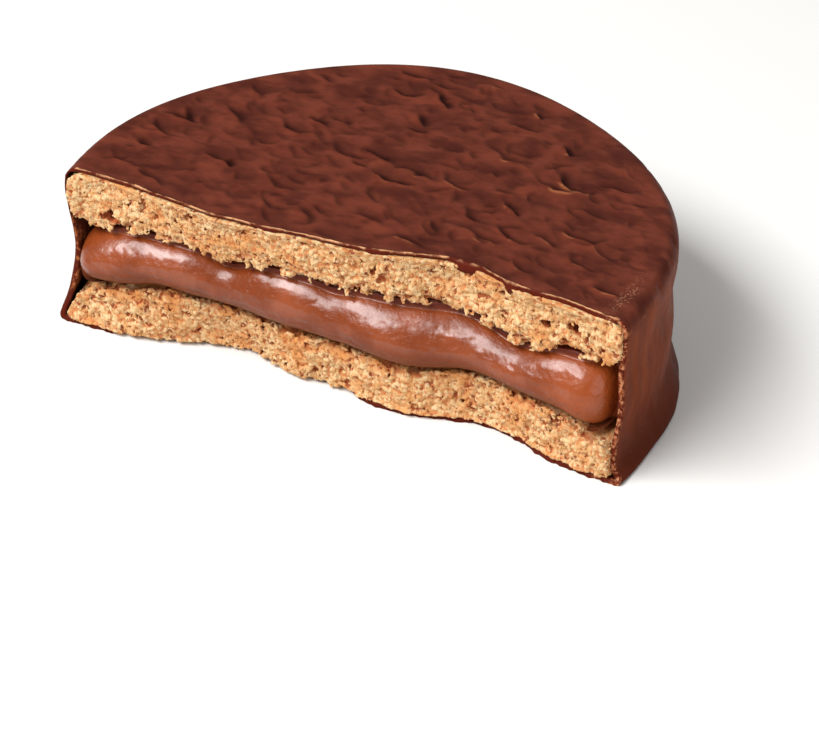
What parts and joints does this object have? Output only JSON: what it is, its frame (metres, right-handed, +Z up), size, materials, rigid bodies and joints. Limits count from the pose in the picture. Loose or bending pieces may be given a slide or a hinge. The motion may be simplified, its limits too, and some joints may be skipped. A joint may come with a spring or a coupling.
{
  "type": "alfajor half",
  "caption": "Half of a round chocolate-coated alfajor, cut across to show the crumbly biscuits and the thick milk-caramel filling between them.",
  "frame": {"origin": "centre of the whole round biscuit, on its flat base", "axes": "+Z up, +X along the cut, and the cut faces -Y"},
  "size_m": [0.0675, 0.0435, 0.0196],
  "materials": {
    "chocolate": "satin dark red-brown milk chocolate",
    "biscuit": "rough baked crumb",
    "filling": "glossy milk caramel"
  },
  "bodies": {
    "root": {"coating": "chocolate", "upper_biscuit": "biscuit", "lower_biscuit": "biscuit", "filling": "filling"}
  },
  "joints": []
}
